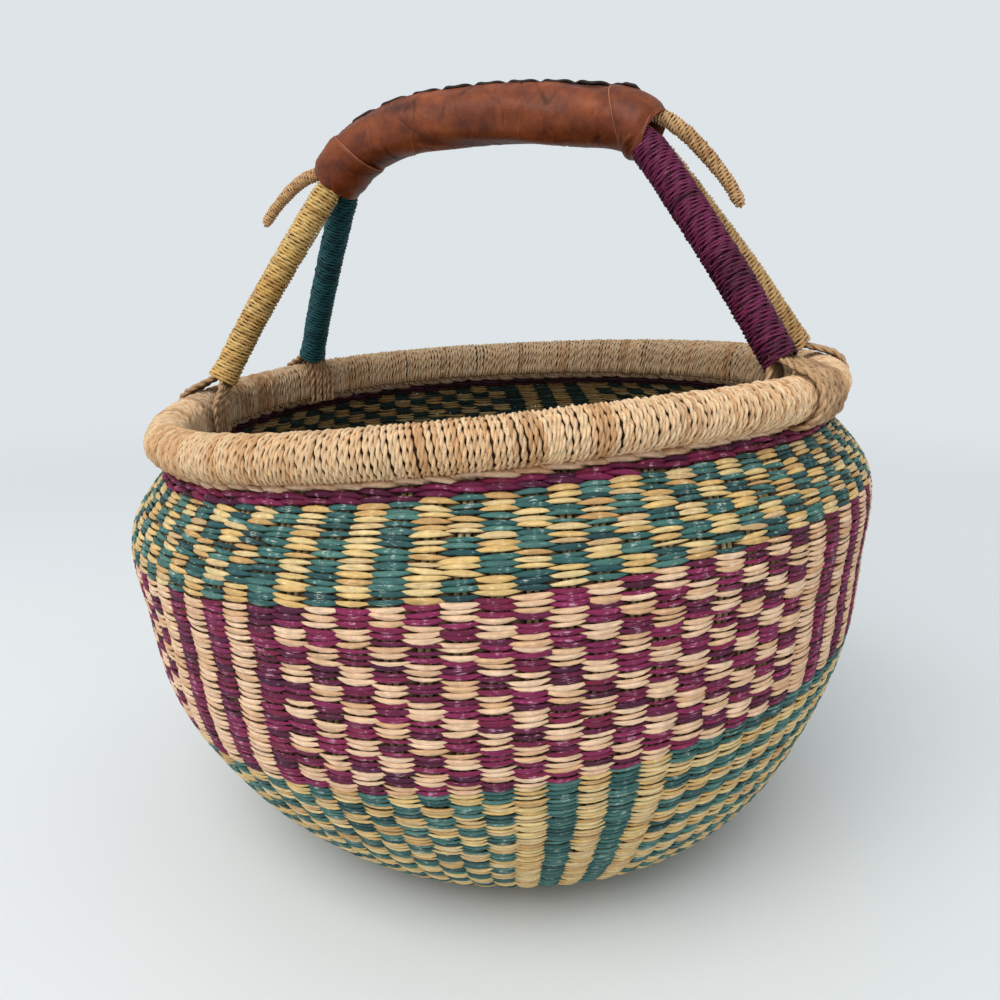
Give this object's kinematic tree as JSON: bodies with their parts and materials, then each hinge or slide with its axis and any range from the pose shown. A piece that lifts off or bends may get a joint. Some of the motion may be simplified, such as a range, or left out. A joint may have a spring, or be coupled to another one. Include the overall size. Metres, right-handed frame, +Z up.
{
  "type": "bolga basket",
  "caption": "Round woven straw basket with a wound rim roll and one leather covered carrying handle on four straw legs lashed to the rim.",
  "frame": {"origin": "middle of the flat underside that the basket rests on", "axes": "+Z up from the resting face, +X to the right and -Y to the front as the picture sees it"},
  "size_m": [0.3897, 0.3863, 0.394],
  "materials": {
    "natural": "undyed dried grass straw, twisted, pale tan with darker nodes",
    "gold": "golden dyed grass straw, slightly glossy",
    "teal": "teal dyed grass straw, worn to paler glints",
    "purple": "dark purple dyed grass straw",
    "straw_core": "bundled raw straw, hidden",
    "leather": "brown goat leather, creased, darker beneath",
    "dark_leather": "dark leather thong"
  },
  "bodies": {
    "root": {"base_weave": "gold", "lower_band": "teal", "middle_band": "purple", "upper_band": "teal", "lower_purple_row": "purple", "upper_purple_row": "purple", "natural_twined_row": "natural", "stakes": "straw_core", "rim_core": "straw_core", "rim_wrap": "natural", "front_hoop_core": "straw_core", "back_hoop_core": "straw_core", "horn_core": "straw_core", "left_front_leg_wrap": "gold", "left_back_leg_wrap": "teal", "right_front_leg_wrap": "purple", "right_back_leg_wrap": "natural", "left_horn_wrap": "natural", "right_horn_wrap": "natural", "leather_sleeve": "leather", "left_cuff": "leather", "right_cuff": "leather", "sleeve_lacing": "dark_leather", "left_front_lashing": "natural", "left_back_lashing": "natural", "right_front_lashing": "natural", "right_back_lashing": "natural"}
  },
  "joints": []
}
